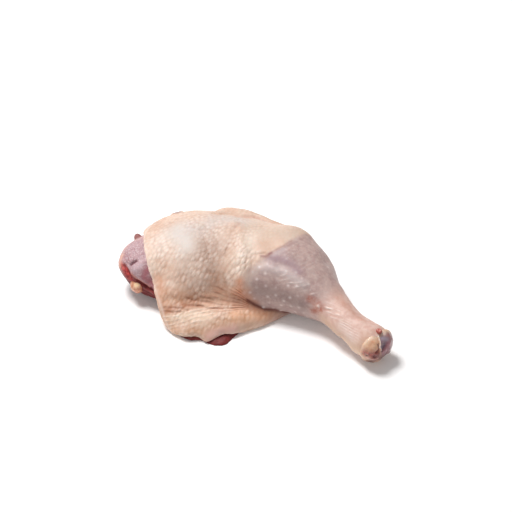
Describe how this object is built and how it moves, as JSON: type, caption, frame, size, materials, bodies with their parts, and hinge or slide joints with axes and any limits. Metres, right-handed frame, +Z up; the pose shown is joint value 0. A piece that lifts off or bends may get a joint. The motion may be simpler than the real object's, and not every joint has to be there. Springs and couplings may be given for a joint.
{
  "type": "raw duck leg",
  "caption": "Raw duck leg lying on its inner side: thigh and drumstick under pale goose-bumped skin, with dark meat at the hip cut and bare cartilage at the hock.",
  "frame": {"origin": "middle of the bounding box's underside, on the table", "axes": "+X along the leg from the hip to the hock, +Y towards the back of the thigh, +Z up from the table"},
  "size_m": [0.1998, 0.1084, 0.0471],
  "materials": {
    "skin": "moist, pebbled with goose bumps",
    "meat": "wet, fibrous",
    "cartilage": "wet, smooth"
  },
  "bodies": {
    "root": {"skin": "skin", "meat": "meat", "femur_head": "cartilage", "hock_knuckle": "cartilage"}
  },
  "joints": []
}
